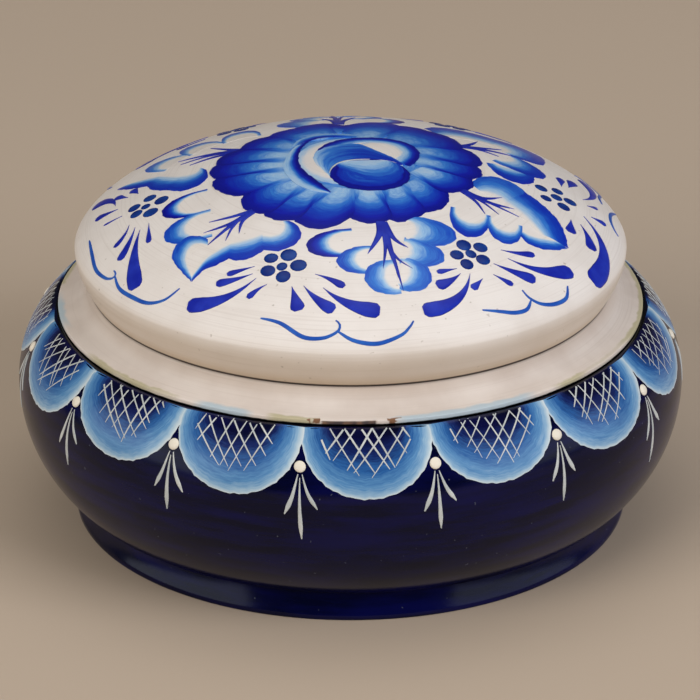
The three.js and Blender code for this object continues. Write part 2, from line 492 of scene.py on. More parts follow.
def brushedAcrylic(name, tones, bareFrom, bareTo, roughness, under):
    # a flat brush loaded dark on one side and pale on the other: the streaks run with the stroke
    material, tree, add = newMaterial(name)
    s = brushLook
    tone = add("ShaderNodeAttribute", out="Fac", attribute_name="tone")
    brush = add("ShaderNodeUVMap", uv_map="brush")
    hair = add("ShaderNodeMapping", {"Vector": brush, "Scale": (s["bristleRun"], 1 / s["bristle"], 1)})
    wide = add("ShaderNodeMapping", {"Vector": brush, "Scale": (s["swellRun"], s["swell"], 1)})
    streaks = add("ShaderNodeTexNoise", {"Vector": hair, "Scale": 1.0, "Detail": 3.0, "Roughness": 0.6})
    swells = add("ShaderNodeTexNoise", {"Vector": wide, "Scale": 1.0, "Detail": 2.0, "Roughness": 0.5})
    middle = -(s["bristleShare"] + s["swellShare"]) / 2
    swelling = add("ShaderNodeMath", (swells, s["swellShare"], middle), operation="MULTIPLY_ADD")
    shift = add("ShaderNodeMath", (streaks, s["bristleShare"], swelling), operation="MULTIPLY_ADD")
    # streaks fade out at both ends of the range, where the paint is solid
    rest = add("ShaderNodeMath", (1.0, tone), operation="SUBTRACT")
    room = add("ShaderNodeMath", (tone, rest), operation="MULTIPLY")
    amount = add("ShaderNodeMath", (room, 5.0), operation="MULTIPLY", use_clamp=True)
    loose = add("ShaderNodeMath", (shift, amount, tone), operation="MULTIPLY_ADD")
    palest = add("ShaderNodeMath", (tone, 0.85), operation="MAXIMUM")
    shown = add("ShaderNodeMath", (loose, palest), operation="MINIMUM")
    painted = setStops(add("ShaderNodeValToRGB", (shown,)), tones)
    finishShader(tree, coats(tree, painted, (shown, bareFrom, bareTo, 1.0, under(tree))),
                 roughness, streaks, 0.35, 0.05)
    return material


def linePaint(name, centre, edge, thin, roughness):
    # one loaded stroke: paint gathers at its edges, and is thinner down the middle
    material, tree, add = newMaterial(name)
    where = add("ShaderNodeTexCoord", out="Object")
    crown = add("ShaderNodeAttribute", out="Fac", attribute_name="rise")
    grain = add("ShaderNodeTexNoise", {"Vector": where, "Scale": 1 / (0.667 * mm), "Detail": 3.0,
                                       "Roughness": 0.55})
    patch = add("ShaderNodeTexNoise", {"Vector": where, "Scale": 1 / (3.85 * mm), "Detail": 2.0,
                                       "Roughness": 0.55})
    middle = coats(tree, centre, (patch, 0.35, 0.7, 1.0, thin))
    share = add("ShaderNodeMath", (grain, 0.35), operation="MULTIPLY")
    speckled = add("ShaderNodeMix", {0: share, 6: middle, 7: edge}, 2, data_type="RGBA")
    finishShader(tree, coats(tree, edge, (crown, 0.012 * mm, 0.05 * mm, 1.0, speckled)),
                 roughness, grain, 0.2, 0.03)
    return material


navyLook = {
    "deep": "#01031e", "bright": "#040638", "dust": "#6f747c", "grimeAndShade": "#050508", "gloss": 0.22,
    "bandSize": 16.7, "dustSize": 0.714, "smearSize": 22.2, "peelSize": 3.85,
    "grimeAndShadeReach": 53.0, "grimeAndShadeWander": 1.6,  # radius that the painted shade and grime under the collar reach
}


def navyGround(tree):
    # brushed navy: slightly bluer and duller bands round the belly, and painted shade under the collar
    s, add = navyLook, partial(addNode, tree)
    where = add("ShaderNodeTexCoord", out="Object")
    flattened = add("ShaderNodeMapping", {"Vector": where, "Scale": (1, 1, 7)})
    bands = add("ShaderNodeTexNoise", {"Vector": flattened, "Scale": 1 / (s["bandSize"] * mm),
                                       "Detail": 4.0, "Roughness": 0.55})
    # painted shade under the collar's overhang, with some grime, in the corner with the collar, on the
    # shoulder's narrow ledge only
    radius, x, y, z = fromAxis(tree, where)
    cloud = add("ShaderNodeTexNoise", {"Vector": where, "Scale": 1 / (8.33 * mm), "Detail": 2.0,
                                       "Roughness": 0.55})
    wander = s["grimeAndShadeWander"] * mm
    uneven = add("ShaderNodeMath", (cloud, wander, -wander / 2), operation="MULTIPLY_ADD")
    reach = add("ShaderNodeMath", (radius, uneven), operation="ADD")
    onLedge = add("ShaderNodeMapRange", (z, 38.4 * mm, 38.5 * mm), interpolation_type="SMOOTHSTEP")
    return coats(tree, s["deep"], (bands, 0.35, 0.7, 1.0, s["bright"]),
                 (reach, (s["grimeAndShadeReach"] + 0.1) * mm, (s["grimeAndShadeReach"] - 0.1) * mm, onLedge, s["grimeAndShade"]))


def navyLacquer():
    # dark blue acrylic under several coats of gloss varnish: deep reflections, a little orange peel
    material, tree, add = newMaterial("navy acrylic under gloss lacquer")
    s = navyLook
    base = navyGround(tree)
    where = add("ShaderNodeTexCoord", out="Object")
    dust, smear, peel = [
        add("ShaderNodeTexNoise", {"Vector": where, "Scale": 1 / (size * mm), "Detail": detail,
                                   "Roughness": 0.55})
        for size, detail in ((s["dustSize"], 1.0), (s["smearSize"], 3.0), (s["peelSize"], 2.0))]
    rough = add("ShaderNodeMapRange", {"Value": smear, "To Min": 0.1, "To Max": 0.24})
    finishShader(tree, coats(tree, base, (dust, 0.77, 0.8, 0.35, s["dust"])),
                 rough, peel, 0.12, 0.12, gloss=s["gloss"])
    return material


collarLook = {
    # the thin colour is painted shade near the lid; the next is a dark line at the joint, painted shade
    # with some grime
    "light": "#ddd2c8", "cloudy": "#cfc2b7", "ring": "#b9a999", "thin": "#a08870", "grimeAndShade": "#2a1c16",
    "blueSmear": "#a9bfca", "yellowSmear": "#b3ab86",  # where the belly's paint ran over the edge
    # the last colour is painted shade under the collar's lower edge
    "chip": "#7f5b42", "bareDark": "#4d4444", "bareLight": "#8a6a52", "shadeUnderEdge": "#0b0b14",
    "cloudSize": 14.3, "raggedSize": 3.03, "smearSize": 35.7, "chipSize": 4.35, "ragged": 1.6,
    "stripX": -0.4, "stripHalf": 4.5,  # the worn strip at the front, where fingers lift the lid
}


def collarPaint():
    # cream acrylic like the lid's; at its lower edge the coats meet and have chipped. Painted shade
    # darkens it near the lid and under its lower edge
    material, tree, add = newMaterial("cream acrylic, chipped at the edge")
    s = collarLook
    # a smooth step from 0 at a low value to 1 at a high one
    fade = partial(add, "ShaderNodeMapRange", interpolation_type="SMOOTHSTEP")
    where, radius, x, y, z, rings = turningRings(tree, creamLook["ringSpacing"])
    cloud, tearing, smearAt, chipAt = [
        add("ShaderNodeTexNoise", {"Vector": where, "Scale": 1 / (size * mm), "Detail": detail,
                                   "Roughness": rough})
        for size, detail, rough in ((s["cloudSize"], 4.0, 0.55), (s["raggedSize"], 3.0, 0.55),
                                    (s["smearSize"], 2.0, 0.55), (s["chipSize"], 3.0, 0.7))]
    ragged = add("ShaderNodeMath", (tearing, s["ragged"] * mm, -s["ragged"] / 2 * mm),
                 operation="MULTIPLY_ADD")
    edge = add("ShaderNodeMath", (radius, ragged), operation="ADD")
    jointInner = fade((radius, 46.2 * mm, 46.4 * mm))
    blueHere, yellowHere = fade((smearAt, 0.5, 0.56, 0.0, 0.8)), fade((smearAt, 0.47, 0.42, 0.0, 0.85))
    # chips down to the wood, most of them at the front
    wanted = add("ShaderNodeMath", (chipAt, fade((y, -49.5 * mm, -51.8 * mm, 0.0, 0.07))), operation="ADD")
    atEdge = fade((edge, 51.9 * mm, 52.2 * mm))
    chip = fade((wanted, 0.66, 0.69, 0.0, atEdge))
    # one longer worn strip
    fromStrip = add("ShaderNodeMath", (x, -s["stripX"] * mm), operation="ADD")
    aside = add("ShaderNodeMath", (fromStrip,), operation="ABSOLUTE")
    sideways = add("ShaderNodeMath", (aside, ragged), operation="ADD")
    atFront = fade((y, -40 * mm, -45 * mm))
    worn = fade((sideways, (s["stripHalf"] + 0.4) * mm, (s["stripHalf"] - 0.3) * mm, 0.0, atFront))
    stripHeight = add("ShaderNodeMath", (ragged, 0.25, z), operation="MULTIPLY_ADD")
    lowHeight = add("ShaderNodeMath", (ragged, 0.3, z), operation="MULTIPLY_ADD")
    bare = coats(tree, s["bareDark"], (chipAt, 0.4, 0.6, 1.0, s["bareLight"]))
    base = coats(tree, s["light"], (cloud, 0.38, 0.72, 1.0, s["cloudy"]),
                 (rings, 0.5, 0.8, 0.28, s["ring"]),
                 # painted shade: darker and browner towards the lid, whose overhang shades the collar near
                 # the seam
                 (radius, 48.7 * mm, 46.6 * mm, 0.35, s["thin"]),
                 # a dark line at the joint with the lid: painted shade of the gap, with some grime
                 (radius, 46.95 * mm, 46.6 * mm, jointInner, s["grimeAndShade"]),
                 (edge, 51.2 * mm, 51.9 * mm, blueHere, s["blueSmear"]),
                 (edge, 51.6 * mm, 52.1 * mm, yellowHere, s["yellowSmear"]),
                 (wanted, 0.66, 0.69, atEdge, s["chip"]), (stripHeight, 39.6 * mm, 39.4 * mm, worn, bare),
                 # painted shade along the bottom of the collar's edge, where it overhangs the belly
                 (lowHeight, 39.0 * mm, 38.8 * mm, 1.0, s["shadeUnderEdge"]))
    rough = add("ShaderNodeMapRange", {"Value": cloud, "To Min": 0.32, "To Max": 0.5})
    ringHeight = add("ShaderNodeMath", (rings, 0.35), operation="MULTIPLY")
    height = add("ShaderNodeMath", (chip, -2.0, ringHeight), operation="MULTIPLY_ADD")
    finishShader(tree, base, rough, height, 0.4, 0.08, ior=1.49)
    return material


lindenLook = {
    "ringSpacing": 2.618, "ringBend": 9.0, "bendSize": 71.4, "fibreSize": 0.625,
    "heart": (0.06, 0.022, 0),  # from the box's axis to the middle of the tree, in metres
    "tones": [(0.2, "#d0b388"), (0.55, "#d5b98f"), (0.85, "#d9bf97")],
}


def lindenWood():
    # bare turned linden with a thin clear coat: pale, close grain, growth rings 2 to 3 mm apart
    material, tree, add = newMaterial("linden, turned and clear lacquered")
    s = lindenLook
    where = add("ShaderNodeTexCoord", out="Object")
    bent = add("ShaderNodeTexNoise", {"Vector": where, "Scale": 1 / (s["bendSize"] * mm), "Detail": 2.0,
                                      "Roughness": 0.55})
    upright = add("ShaderNodeMapping", {"Vector": where, "Location": s["heart"], "Scale": (1, 1, 0.12)})
    reach = fromAxis(tree, upright)[0]
    bending = add("ShaderNodeMath", (bent, s["ringBend"]), operation="MULTIPLY")
    rings = add("ShaderNodeMath", (reach, 2 * math.pi / (s["ringSpacing"] * mm), bending),
                operation="MULTIPLY_ADD")
    wave = add("ShaderNodeMath", (rings,), operation="SINE")
    ring = add("ShaderNodeMath", (wave, 0.5, 0.5), operation="MULTIPLY_ADD")
    drawn = add("ShaderNodeMapping", {"Vector": where, "Scale": (1, 1, 0.06)})
    fibre = add("ShaderNodeTexNoise", {"Vector": drawn, "Scale": 1 / (s["fibreSize"] * mm), "Detail": 2.0,
                                       "Roughness": 0.55})
    fibreShare = add("ShaderNodeMath", (fibre, 0.45), operation="MULTIPLY")
    tone = add("ShaderNodeMath", (ring, 0.55, fibreShare), operation="MULTIPLY_ADD")
    wood = setStops(add("ShaderNodeValToRGB", (tone,)), s["tones"])
    finishShader(tree, wood, 0.42, fibre, 0.25, 0.06)
    return material


navy, linden, cream, collarCream = navyLacquer(), lindenWood(), creamPaint(), collarPaint()
petalPaint = brushedAcrylic("cobalt acrylic, double-loaded brush", petalTones, 0.86, 1.0, 0.28,
                            lambda tree: creamGround(tree)[0])
scallopPaint = brushedAcrylic("pale blue acrylic, blended", scallopTones, 0.74, 0.98, 0.26, navyGround)
# middle, edge and thin places of each stroke, then its roughness
cobaltLine = linePaint("cobalt acrylic, one stroke", "#1726a2", "#070a5c", "#253ab6", 0.3)
curlPaint = linePaint("cobalt acrylic, thin liner stroke", "#1c52ae", "#0c2c84", "#2c66bd", 0.32)
berryPaint = linePaint("cobalt acrylic, dabbed", "#0b2877", "#040a44", "#174696", 0.26)
whiteLine = linePaint("white acrylic, thin liner stroke", "#b9bdb8", "#8d95a0", "#d2d3cb", 0.4)
pearlPaint = linePaint("white acrylic, dabbed thick", "#ece4d2", "#d3c9b6", "#e4dccb", 0.34)
print("materials ready")


facets = 256
bowlPoints, lidPoints, collarPoints = [easeCorners(outline()) for outline in
                                       (bowlOutline, lidOutline, collarOutline)]
bowlLine, lidLine, collarLine = [outlineObject(name, points) for name, points in (
    ("bowlLine", bowlPoints), ("lidLine", lidPoints), ("collarLine", collarPoints))]
scratch += [bowlLine, lidLine, collarLine]


def nearest(points, r, z):
    return min(range(len(points)), key=lambda i: math.dist(points[i], (r, z)))


shoulder = bowlSizes["shoulderHeight"]
shoulderAt = nearest(bowlPoints, bellyRadius(shoulder), shoulder)
bellyStart = lengthOf(bowlPoints[:shoulderAt + 1])


def turnPiece(name, line, paintFrom, paintTo, paint):
    blank = addObject(name + "Blank", bpy.data.meshes.new(name))
    return bake(name, blank, turned, {
        "Outline": line, "Facets": facets, "Painted from": paintFrom, "Painted to": paintTo,
        "Paint": paint, "Wood": linden}, 32)


bowl = turnPiece("bowlTurned", bowlLine, nearest(bowlPoints, bowlSizes["seatRadius"], shoulder),
                 len(bowlPoints), navy)
collar = turnPiece("collarTurned", collarLine, 0, len(collarPoints), collarCream)
lid = turnPiece("lidTurned", lidLine, -1,
                nearest(lidPoints, lidSizes["seamRadius"] - 0.4, lidSizes["seat"]), cream)
print("turned pieces ready")


def moved(points, turn, shift=0.0):
    # turns points about the crown by degrees, and slides them outwards
    a = math.radians(turn)
    done = []
    for p in points:
        x, y = p[0] * math.cos(a) - p[1] * math.sin(a), p[0] * math.sin(a) + p[1] * math.cos(a)
        reach = math.hypot(x, y) or 1.0
        done.append((x * (1 + shift / reach), y * (1 + shift / reach), *p[2:]))
    return done


def halfOval(tip, heart, halfWidth, narrow, blunt=0.85, steps=26):
    # outline of a petal from one side of its heart, round the tip, to the other side
    dx, dy = tip[0] - heart[0], tip[1] - heart[1]
    outline = []
    for k in range(steps + 1):
        a = mix(-math.pi / 2, math.pi / 2, k / steps)
        out = max(math.cos(a), 0.0) ** blunt
        side = math.sin(a) * (1 - narrow * (1 - out)) * halfWidth / math.hypot(dx, dy)
        outline.append((heart[0] + dx * out - dy * side, heart[1] + dy * out + dx * side))
    return outline


filmLook = {
    "rough": 0.07, "paces": (2.1, 3.7),  # unevenness of a film's outer edge
    "edgeDip": 0.012, "sunk": 0.03,  # how much lower the film's edge and underside are
}


class Sheet:
    # gathers flat films of paint into one mesh, each a closed pad with its own height
    def __init__(self):
        self.points, self.faces, self.tones, self.rises, self.brush = [], [], [], [], []

    def film(self, outer, inner, rows, low, tone, seed):
        # outer edge to inner edge in rows; tone(across, along) gives 0 for dark to 1 for pale
        s, columns, base = filmLook, len(outer), len(self.points)
        wobble = random.Random(seed)
        phase = [wobble.uniform(0, 6.28) for k in range(2)]
        reach = math.dist(outer[columns // 2], inner[columns // 2])
        lengths = [0.0]
        for a, b in zip(outer, outer[1:]):
            lengths.append(lengths[-1] + math.dist(a, b))
        for layer in (0, 1):  # the painted face, then its underside below the surface
            for i in range(rows + 1):
                for j in range(columns):
                    across, along = i / rows, j / (columns - 1)
                    rough = s["rough"] * sum(math.sin(lengths[j] * pace + start)
                                             for pace, start in zip(s["paces"], phase))
                    pull = rough * (1 - across) / max(math.dist(outer[j], inner[j]), 1.0)
                    x, y = mixPoint(outer[j], inner[j], across - pull)
                    edge = i in (0, rows) or j in (0, columns - 1)
                    rise = -s["sunk"] if layer else low - s["edgeDip"] * edge
                    self.points.append((x * mm, y * mm, 0))
                    self.rises.append(rise * mm)
                    self.tones.append(min(1.0, max(0.0, tone(across, along))))
                    self.brush.append((lengths[j] + seed * 7.3, across * reach + seed * 3.1))
        def at(layer, i, j):
            return base + (layer * (rows + 1) + i) * columns + j
        for i in range(rows):
            for j in range(columns - 1):
                self.faces.append((at(0, i, j), at(0, i, j + 1), at(0, i + 1, j + 1), at(0, i + 1, j)))
                self.faces.append((at(1, i, j), at(1, i + 1, j), at(1, i + 1, j + 1), at(1, i, j + 1)))
        rim = [(0, j) for j in range(columns)] + [(i, columns - 1) for i in range(1, rows + 1)]
        rim += [(rows, j) for j in range(columns - 2, -1, -1)] + [(i, 0) for i in range(rows - 1, 0, -1)]
        for a, b in zip(rim, rim[1:] + rim[:1]):
            self.faces.append((at(0, *b), at(0, *a), at(1, *a), at(1, *b)))

    def asObject(self, name):
        mesh = bpy.data.meshes.new(name)
        mesh.from_pydata(self.points, [], self.faces)
        for label, values in (("rise", self.rises), ("tone", self.tones)):
            mesh.attributes.new(label, "FLOAT", "POINT").data.foreach_set("value", values)
        uv = mesh.uv_layers.new(name="brush")
        for loop in mesh.loops:
            uv.data[loop.index].uv = self.brush[loop.vertex_index]
        return addObject(name, mesh)


def roseTone(dark, pale):
    # darkest round the tip, a long mid blue, palest at the heart; the sides stay a shade darker
    def tone(across, along):
        side = abs(2 * along - 1)
        edge = mix(dark, pale * 0.72, ease((side - 0.46) / 0.46))
        return min(0.84, mix(edge, pale * 0.96, ease(across * 1.12) ** 0.95))
    return tone


def petalTone(dark, pale, fade, sideDark=0.75):
    # dark round the tip, paler down the sides towards the heart
    def tone(across, along):
        side = abs(2 * along - 1)
        edge = mix(dark, dark + 0.5 * (1 - sideDark), ease((side - 0.55) / 0.45))
        return mix(edge, pale, ease(across / fade) ** 1.5)
    return tone


# petals, lowest first: heart, how pale the heart is, how dark the tip is, then the outer edge
rosePetals = [
    ((10.4, -9.4), 0.74, 0.02, [(17.0, -11.4), (17.4, -13.6), (17.1, -15.6), (16.2, -17.5),
     (14.9, -18.7), (12.9, -19.6), (11.6, -19.4)]),
    ((7.4, -11.4), 0.80, 0.02, [(13.2, -18.6), (12.6, -20.4), (11.0, -22.2), (9.4, -23.1), (8.1, -23.2),
     (6.8, -22.7), (5.8, -21.6)]),
    ((3.0, -12.4), 0.90, 0.02, [(7.4, -21.8), (6.4, -23.0), (5.2, -23.7), (3.5, -24.1), (1.9, -23.8),
     (0.6, -23.0), (-0.6, -21.4)]),
    ((-1.4, -12.8), 0.84, 0.02, [(0.8, -21.0), (0.0, -22.4), (-1.4, -23.9), (-3.0, -25.0),
     (-5.3, -25.6), (-7.2, -25.1), (-8.6, -24.0), (-9.8, -22.0)]),
    ((-5.8, -12.2), 0.80, 0.02, [(-8.4, -21.6), (-9.8, -22.4), (-11.4, -22.4), (-13.1, -21.9),
     (-14.3, -20.9), (-15.1, -19.4)]),
    ((-8.6, -9.6), 0.82, 0.02, [(-13.6, -19.4), (-15.2, -19.6), (-16.8, -18.8), (-18.0, -17.9),
     (-18.9, -16.6), (-19.3, -14.6), (-18.9, -12.3), (-17.8, -10.8)]),
    ((11.8, -4.2), 0.90, 0.02, [(20.8, -4.2), (21.7, -5.6), (21.8, -8.0), (21.0, -9.5), (19.7, -10.7),
     (18.4, -11.5), (16.6, -12.0), (15.0, -11.2)]),
    ((11.8, -0.4), 0.80, 0.02, [(21.6, 1.6), (23.0, 0.6), (23.5, -1.2), (23.5, -2.8), (22.7, -4.1),
     (21.4, -5.2), (19.8, -5.2)]),
    ((11.6, 4.2), 0.74, 0.02, [(18.6, 9.8), (20.4, 9.4), (22.2, 7.9), (23.2, 5.8), (23.7, 3.2),
     (23.1, 1.4), (21.2, 0.2)]),
    ((-10.2, -6.8), 0.86, 0.02, [(-17.6, -11.8), (-19.2, -12.4), (-20.8, -11.8), (-22.2, -10.6),
     (-23.4, -9.0), (-24.3, -7.4), (-24.7, -5.8), (-24.0, -3.8), (-22.4, -3.0)]),
    ((-10.0, -2.8), 0.88, 0.02, [(-22.0, -4.4), (-23.9, -4.0), (-24.9, -2.3), (-25.3, -0.6),
     (-25.0, 1.2), (-24.0, 2.5), (-22.4, 2.6)]),
    ((-10.0, 1.4), 0.86, 0.02, [(-21.8, 1.2), (-23.6, 1.9), (-24.2, 3.8), (-23.7, 5.6), (-22.6, 7.2),
     (-20.6, 8.4), (-18.8, 8.2)]),
    ((8.2, 8.2), 0.68, 0.04, [(7.4, 18.4), (8.6, 20.2), (10.4, 20.4), (12.4, 19.8), (14.6, 18.2),
     (16.9, 16.7), (18.6, 15.0), (19.6, 13.0), (20.3, 10.6), (20.0, 8.6), (18.6, 7.4)]),
    ((-10.2, 5.6), 0.74, 0.03, [(-18.2, 7.4), (-19.8, 8.6), (-19.3, 11.0), (-17.7, 13.1), (-15.8, 14.0),
     (-14.0, 14.4), (-12.4, 13.6)]),
    ((2.8, 9.2), 0.78, 0.12, [(-2.4, 16.2), (-1.6, 18.2), (0.2, 19.8), (2.2, 21.5), (4.8, 22.3),
     (7.1, 22.0), (8.7, 20.6), (9.6, 18.0)]),
    ((-5.4, 9.2), 0.76, 0.08, [(-13.4, 12.4), (-14.6, 14.2), (-14.1, 15.8), (-12.7, 17.1),
     (-10.6, 18.2), (-8.5, 19.9), (-6.2, 20.9), (-4.3, 21.0), (-2.8, 19.8), (-2.0, 16.8)]),
]


def edgeTone(dark, fade):
    return lambda across, along: mix(dark, 1.0, ease(across / fade) ** 1.3)


def petalEdges(heart, outer):
    # closes a drawn outer edge down to the heart on both sides
    middle = outer[len(outer) // 2]
    reach = math.dist(middle, heart)
    sideX, sideY = -(middle[1] - heart[1]) / reach, (middle[0] - heart[0]) / reach
    first = outer[0]
    if (first[0] - heart[0]) * sideX + (first[1] - heart[1]) * sideY < 0:
        sideX, sideY = -sideX, -sideY
    start = (heart[0] + sideX * 2.3, heart[1] + sideY * 2.3)
    end = (heart[0] - sideX * 2.3, heart[1] - sideY * 2.3)
    path = [start, mixPoint(start, outer[0], 0.55)] + outer + [mixPoint(end, outer[-1], 0.55), end]
    edge = smoothPath(path, 40)
    core = [(mix(heart[0], x, 0.02), mix(heart[1], y, 0.02)) for x, y in edge]
    return edge, core


def oval(x, y, wide, tall, steps=60, start=0.0):
    # clockwise, and closed by its first point
    turns = [2 * math.pi * k / steps + start for k in range(steps, -1, -1)]
    return [(x + wide * math.cos(a), y + tall * math.sin(a)) for a in turns]


def paintRose():
    sheet = Sheet()
    sheet.film(oval(0.4, -0.8, 15.5, 15.0), oval(0.4, -0.8, 1.0, 1.0), 6, 0.032,
               lambda across, along: 0.6, 30)
    for k, (heart, pale, dark, outer) in enumerate(rosePetals):
        edge, core = petalEdges(heart, outer)
        sheet.film(edge, core, 18, 0.04 + 0.008 * k, roseTone(dark, pale), k + 1)
    top = 0.05 + 0.008 * len(rosePetals)
    # dark notch between the two back petals
    sheet.film(smoothPath([(-4.4, 19.2), (-3.4, 19.9), (-2.2, 19.4), (-1.2, 18.8), (-0.2, 19.0)], 12),
               smoothPath([(-2.5, 13.0), (-2.3, 12.9), (-2.1, 12.9), (-1.9, 12.9), (-1.7, 13.0)], 12),
               8, top - 0.012, lambda across, along: mix(0.02, 0.55, ease(across * 1.1)), 29)
    # pale ground of the swirl
    sheet.film(oval(-0.1, -1.3, 9.6, 10.4), oval(-0.1, -1.3, 0.6, 0.6), 6, top,
               lambda across, along: mix(0.8, 1.0, ease(across * 4)), 31)
    # the long crescent on the left, dark against the pale ground and fading outwards
    sheet.film(smoothPath([(-7.6, 8.0), (-8.7, 5.0), (-9.2, 1.0), (-9.0, -3.0), (-7.8, -6.6),
                           (-5.9, -10.0), (-4.4, -12.6), (-3.5, -14.3)], 34)[::-1],
               smoothPath([(-8.2, 8.4), (-10.1, 5.2), (-11.3, 1.0), (-11.9, -3.2), (-11.2, -7.2),
                           (-9.2, -11.2), (-6.4, -13.6), (-3.8, -14.6)], 34)[::-1],
               8, top + 0.02, lambda across, along: mix(0.0, 0.84, ease(across * 1.5 - 0.2)), 32)
    sheet.film(smoothPath([(1.0, 10.0), (-2.0, 10.4), (-5.0, 9.9), (-7.4, 8.4), (-8.6, 6.0)], 24),
               smoothPath([(1.2, 11.2), (-2.4, 12.2), (-6.2, 11.8), (-9.2, 9.6), (-10.4, 6.2)], 24),
               6, top + 0.02, lambda across, along: mix(mix(0.5, 0.04, ease(along * 1.6)), 0.78,
                                                        ease(across)), 33)
    # the second swirl round the bud, its pale hollow first
    sheet.film(smoothPath([(1.6, 5.6), (4.0, 7.4), (7.2, 7.0), (9.4, 4.4), (9.5, 1.6), (8.0, -0.8)], 24),
               smoothPath([(2.8, 3.6), (3.6, 3.4), (4.6, 2.4), (5.6, 1.0), (6.4, 0.0), (7.2, -0.9)], 24),
               6, top + 0.03, lambda across, along: mix(0.84, 1.0, ease(across * 3)), 34)
    sheet.film(smoothPath([(-6.4, 1.6), (-4.6, 5.8), (-1.6, 8.5), (2.6, 9.7), (6.8, 9.5), (10.2, 7.7),
                           (12.0, 4.6), (12.3, 1.6), (11.6, -1.2), (10.5, -3.3)], 44),
               smoothPath([(-4.2, 1.6), (-2.8, 4.0), (-0.6, 5.6), (2.4, 6.9), (5.8, 6.9), (8.0, 5.6),
                           (9.2, 3.6), (9.4, 1.6), (8.8, -0.4), (7.8, -2.2)], 44),
               10, top + 0.04, lambda across, along: mix(0.04, mix(0.5, 0.84, ease(along * 2)),
                                                         ease(across * 1.3 - 0.2)), 35)
    # the broad comma between swirl and bud
    sheet.film(smoothPath([(-3.6, -9.0), (-5.2, -5.6), (-6.5, -1.6), (-6.1, 2.2), (-4.0, 4.8), (-1.0, 6.0),
                           (1.6, 5.8), (3.2, 4.2), (5.0, 2.2), (6.8, 0.4), (8.2, -1.2), (9.6, -3.0)], 44),
               smoothPath([(-3.3, -8.4), (-3.4, -6.0), (-2.6, -3.9), (-1.0, -2.5), (0.6, -1.8),
                           (2.2, -1.6),
                           (3.6, -1.5), (4.8, -1.5), (5.8, -1.6), (6.8, -1.8), (7.8, -2.3),
                           (8.8, -3.4)], 44),
               10, top + 0.05, lambda across, along: mix(mix(0.96, 0.44, ease(along * 1.3)),
                                                         mix(0.62, 0.2, ease(along * 1.2)),
                                                         ease(across * 1.5))
               + 0.07 * math.sin(across * 24), 36)
    # the bud: a dark ball, then the paler turn of the brush on it
    sheet.film(oval(3.4, -7.6, 7.1, 6.1, 48, 2.2), oval(3.4, -7.0, 0.7, 0.5, 48, 2.2), 12, top + 0.06,
               lambda across, along: mix(0.0, 0.36, ease(across * 1.8)) + 0.06 * math.sin(across * 30), 37)
    sheet.film(smoothPath([(-2.7, -4.2), (-1.0, -6.6), (1.4, -8.8), (4.0, -10.2), (6.6, -10.1),
                           (8.7, -8.2),
                           (9.4, -5.6), (8.6, -3.3), (7.0, -2.1)], 40),
               smoothPath([(-1.6, -3.0), (-0.6, -2.6), (0.4, -2.4), (1.4, -2.3), (2.4, -2.2), (3.4, -2.1),
                           (4.4, -2.0), (5.4, -1.9), (6.2, -1.9)], 40),
               12, top + 0.075, lambda across, along: mix(0.24, 0.86, ease(across * 1.05) ** 0.7) +
               0.08 * math.sin(across * 34) * (1 - across), 38)
    return sheet.asObject("rose"), top


